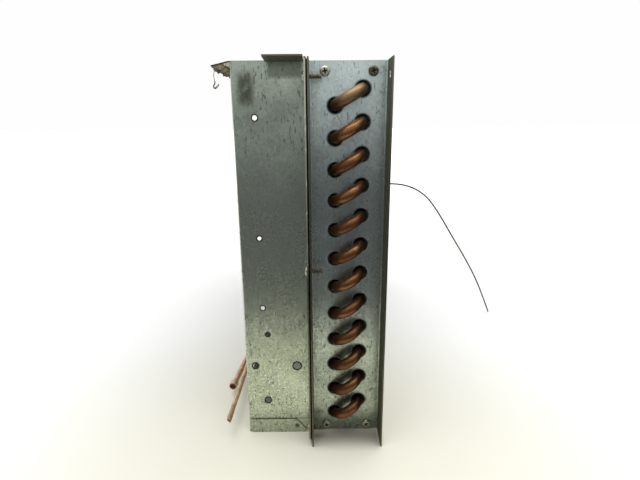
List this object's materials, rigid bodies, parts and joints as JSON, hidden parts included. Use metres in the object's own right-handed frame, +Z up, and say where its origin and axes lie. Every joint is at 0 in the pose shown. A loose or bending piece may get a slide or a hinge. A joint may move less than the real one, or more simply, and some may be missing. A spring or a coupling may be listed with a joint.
{
  "type": "finned tube coil with plenum",
  "caption": "Finned-tube heat exchanger coil in a flanged steel casing, with a shallow air plenum, drip pan and copper line stubs.",
  "frame": {"origin": "on the floor, in the middle of the box that holds everything but the sensor capillary", "axes": "+X to the coil side, -Y towards the hairpin end that faces the viewer, +Z up"},
  "size_m": [0.3643, 0.47, 0.3395],
  "materials": {
    "coil_steel": "dull galvanised",
    "plenum_steel": "dull weathered galvanised",
    "fins": "mill aluminium, dusty",
    "copper": "tarnished copper",
    "line_copper": "brown oxidised copper",
    "foam": "aged open-cell foam",
    "zinc_screws": "yellowish zinc plate",
    "sensor_metal": "oxidised copper",
    "capillary_metal": "dull grey brown"
  },
  "bodies": {
    "root": {"front_tube_sheet": "coil_steel", "rear_tube_sheet": "coil_steel", "coil_top_plate": "coil_steel", "coil_bottom_plate": "coil_steel", "plenum_front_panel": "plenum_steel", "plenum_rear_panel": "plenum_steel", "plenum_top_panel": "plenum_steel", "drip_pan": "plenum_steel", "fin_pack": "fins", "hairpin_tube_01": "copper", "hairpin_tube_02": "copper", "hairpin_tube_03": "copper", "hairpin_tube_04": "copper", "hairpin_tube_05": "copper", "hairpin_tube_06": "copper", "hairpin_tube_07": "copper", "hairpin_tube_08": "copper", "hairpin_tube_09": "copper", "hairpin_tube_10": "copper", "hairpin_tube_11": "copper", "hairpin_tube_12": "copper", "return_bend_01": "copper", "return_bend_02": "copper", "return_bend_03": "copper", "return_bend_04": "copper", "return_bend_05": "copper", "return_bend_06": "copper", "return_bend_07": "copper", "return_bend_08": "copper", "return_bend_09": "copper", "return_bend_10": "copper", "return_bend_11": "copper", "liquid_line": "line_copper", "suction_line": "line_copper", "foam_seal_top": "foam", "flange_screws_front": "zinc_screws", "flange_screws_rear": "zinc_screws", "tube_sheet_screws_front": "zinc_screws", "tube_sheet_screws_rear": "zinc_screws", "sensor_bulb": "sensor_metal", "bulb_clip": "sensor_metal", "sensor_capillary": "capillary_metal"}
  },
  "joints": []
}
